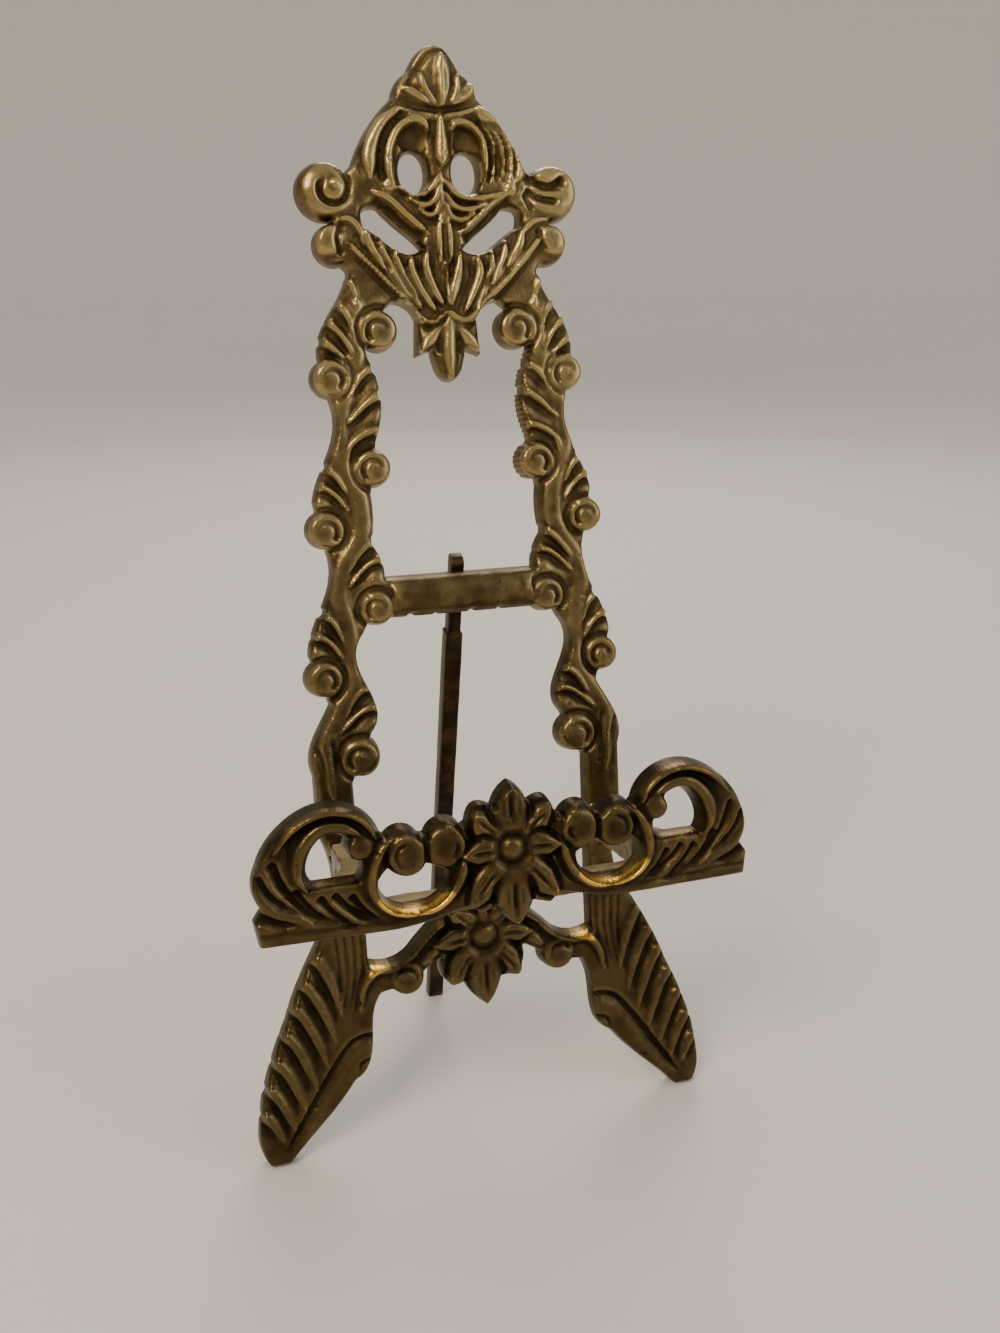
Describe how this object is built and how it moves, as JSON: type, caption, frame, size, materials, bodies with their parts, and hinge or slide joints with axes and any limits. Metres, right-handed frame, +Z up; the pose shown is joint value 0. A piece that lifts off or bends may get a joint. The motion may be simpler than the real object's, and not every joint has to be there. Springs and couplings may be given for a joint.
{
  "type": "photo album stand",
  "caption": "Folding tabletop easel in ornate cast brass: openwork scroll frame, low front ledge on two arms, and a hinged rear strut.",
  "frame": {"origin": "on the table under the middle of the easel's box", "axes": "+X to the viewer's right, +Y towards the strut, +Z up"},
  "size_m": [0.1224, 0.0892, 0.2674],
  "materials": {
    "frame_brass": "aged sand-cast brass, rubbed bright on the high relief, brown in the hollows",
    "ledge_brass": "aged sand-cast brass, dark olive-brown patina, worn gold along the opening edges",
    "screw_brass": "turned brass, dulled",
    "pin_brass": "drawn brass rod, peened ends, dulled",
    "strut_brass": "cast brass bar, near-black brown patina"
  },
  "bodies": {
    "easel": {"front_frame": "frame_brass", "front_ledge": "ledge_brass", "ledge_screws": "screw_brass", "hinge_pin": "pin_brass"},
    "strut": {"rear_strut": "strut_brass"}
  },
  "joints": [
    {"name": "strut_fold", "type": "hinge", "parent": "easel", "child": "strut", "pos_m": [0, 0.00998, 0.14012], "axis": [-1, 0, 0], "range_deg": [0, 22.5]}
  ]
}
